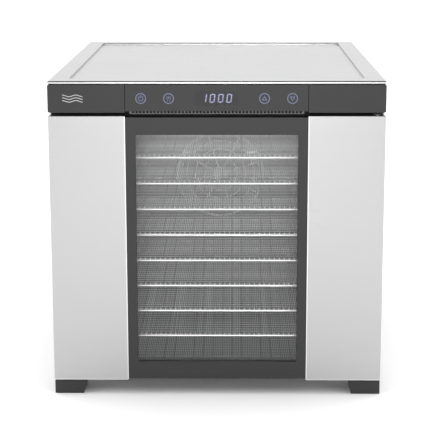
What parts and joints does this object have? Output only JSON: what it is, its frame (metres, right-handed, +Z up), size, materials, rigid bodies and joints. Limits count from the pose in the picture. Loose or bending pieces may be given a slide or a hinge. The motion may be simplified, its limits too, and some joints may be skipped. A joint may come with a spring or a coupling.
{
  "type": "food dehydrator",
  "caption": "Countertop food dehydrator: steel cabinet with a glass front door, touch controls above it, and stacked sliding wire trays in front of a rear fan and heater.",
  "frame": {"origin": "on the supporting surface, under the centre of the cabinet", "axes": "+X right seen from the front, the door faces -Y, +Z up"},
  "size_m": [0.415, 0.5, 0.403],
  "materials": {
    "brushed_steel": "brushed stainless sheet",
    "dark_moulding": "satin dark grey moulding",
    "black_plastic": "matt black moulding",
    "liner_steel": "plain stainless liner",
    "tray_wire": "electropolished wire",
    "door_glass": "clear tempered glass",
    "smoked_lens": "smoked clear plastic",
    "lit_display": "lit lavender white",
    "lit_icon": "translucent light guide",
    "rubber": "matt",
    "zinc_steel": "bright zinc plate",
    "fan_plastic": "matt",
    "motor_metal": "satin",
    "circuit_board": "solder mask",
    "heater_sheath": "oxidised steel sheath",
    "black_paint": "black powder coat on sheet steel",
    "silicone_lead": "silicone sleeve"
  },
  "bodies": {
    "cabinet": {"base_pan": "brushed_steel", "cabinet_screws": "zinc_steel", "catch_magnet": "black_plastic", "control_board": "circuit_board", "control_panel": "dark_moulding", "display_digits": "lit_display", "display_window": "smoked_lens", "fan_baffle": "liner_steel", "fan_guard": "tray_wire", "fan_motor": "motor_metal", "feet": "black_plastic", "foot_screws": "zinc_steel", "front_frame": "black_paint", "header_left_end": "dark_moulding", "header_right_end": "dark_moulding", "heater_clips": "liner_steel", "heater_coil": "heater_sheath", "hinge_pins": "zinc_steel", "internal_wiring": "silicone_lead", "left_side_panel": "brushed_steel", "left_tray_ledges": "liner_steel", "liner_ceiling": "liner_steel", "liner_floor": "liner_steel", "liner_left_wall": "liner_steel", "liner_right_wall": "liner_steel", "lower_hinge_bracket": "zinc_steel", "mains_inlet": "black_plastic", "motor_bracket": "liner_steel", "power_board": "circuit_board", "rear_panel": "brushed_steel", "right_side_panel": "brushed_steel", "right_tray_ledges": "liner_steel", "temperature_probe": "zinc_steel", "thermal_cutout": "black_plastic", "top_cover": "brushed_steel", "touch_icons": "lit_icon", "upper_hinge_bracket": "zinc_steel", "vent_strip": "dark_moulding"},
    "door": {"door_frame": "dark_moulding", "door_glass": "door_glass", "door_inner_frame": "black_plastic", "door_left_panel": "brushed_steel", "door_right_panel": "brushed_steel", "door_seal": "rubber", "strike_plate": "zinc_steel", "hinge_bushes": "black_plastic", "door_screws": "zinc_steel"},
    "fan": {"fan_impeller": "fan_plastic", "motor_shaft": "zinc_steel", "hub_nut": "zinc_steel"},
    "tray_01": {"tray_01": "tray_wire"},
    "tray_02": {"tray_02": "tray_wire"},
    "tray_03": {"tray_03": "tray_wire"},
    "tray_04": {"tray_04": "tray_wire"},
    "tray_05": {"tray_05": "tray_wire"},
    "tray_06": {"tray_06": "tray_wire"},
    "tray_07": {"tray_07": "tray_wire"},
    "tray_08": {"tray_08": "tray_wire"},
    "tray_09": {"tray_09": "tray_wire"},
    "tray_10": {"tray_10": "tray_wire"}
  },
  "joints": [
    {"name": "door_hinge", "type": "hinge", "parent": "cabinet", "child": "door", "pos_m": [0.198, -0.241, 0.19], "axis": [0, 0, 1], "range_deg": [0, 135]},
    {"name": "fan_spin", "type": "hinge", "parent": "cabinet", "child": "fan", "pos_m": [0, 0.2, 0.205], "axis": [0, 1, 0], "continuous": true},
    {"name": "tray_01_slide", "type": "slide", "parent": "cabinet", "child": "tray_01", "axis": [0, -1, 0], "range_m": [0, 0.34]},
    {"name": "tray_02_slide", "type": "slide", "parent": "cabinet", "child": "tray_02", "axis": [0, -1, 0], "range_m": [0, 0.34]},
    {"name": "tray_03_slide", "type": "slide", "parent": "cabinet", "child": "tray_03", "axis": [0, -1, 0], "range_m": [0, 0.34]},
    {"name": "tray_04_slide", "type": "slide", "parent": "cabinet", "child": "tray_04", "axis": [0, -1, 0], "range_m": [0, 0.34]},
    {"name": "tray_05_slide", "type": "slide", "parent": "cabinet", "child": "tray_05", "axis": [0, -1, 0], "range_m": [0, 0.34]},
    {"name": "tray_06_slide", "type": "slide", "parent": "cabinet", "child": "tray_06", "axis": [0, -1, 0], "range_m": [0, 0.34]},
    {"name": "tray_07_slide", "type": "slide", "parent": "cabinet", "child": "tray_07", "axis": [0, -1, 0], "range_m": [0, 0.34]},
    {"name": "tray_08_slide", "type": "slide", "parent": "cabinet", "child": "tray_08", "axis": [0, -1, 0], "range_m": [0, 0.34]},
    {"name": "tray_09_slide", "type": "slide", "parent": "cabinet", "child": "tray_09", "axis": [0, -1, 0], "range_m": [0, 0.34]},
    {"name": "tray_10_slide", "type": "slide", "parent": "cabinet", "child": "tray_10", "axis": [0, -1, 0], "range_m": [0, 0.34]}
  ],
  "couplings": [
    {"joint": "tray_01_slide", "follows": "door_hinge", "m_per_rad": 0.046},
    {"joint": "tray_02_slide", "follows": "door_hinge", "m_per_rad": 0.043},
    {"joint": "tray_03_slide", "follows": "door_hinge", "m_per_rad": 0.04},
    {"joint": "tray_04_slide", "follows": "door_hinge", "m_per_rad": 0.037},
    {"joint": "tray_05_slide", "follows": "door_hinge", "m_per_rad": 0.034},
    {"joint": "tray_06_slide", "follows": "door_hinge", "m_per_rad": 0.031},
    {"joint": "tray_07_slide", "follows": "door_hinge", "m_per_rad": 0.028},
    {"joint": "tray_08_slide", "follows": "door_hinge", "m_per_rad": 0.025},
    {"joint": "tray_09_slide", "follows": "door_hinge", "m_per_rad": 0.022},
    {"joint": "tray_10_slide", "follows": "door_hinge", "m_per_rad": 0.019}
  ]
}
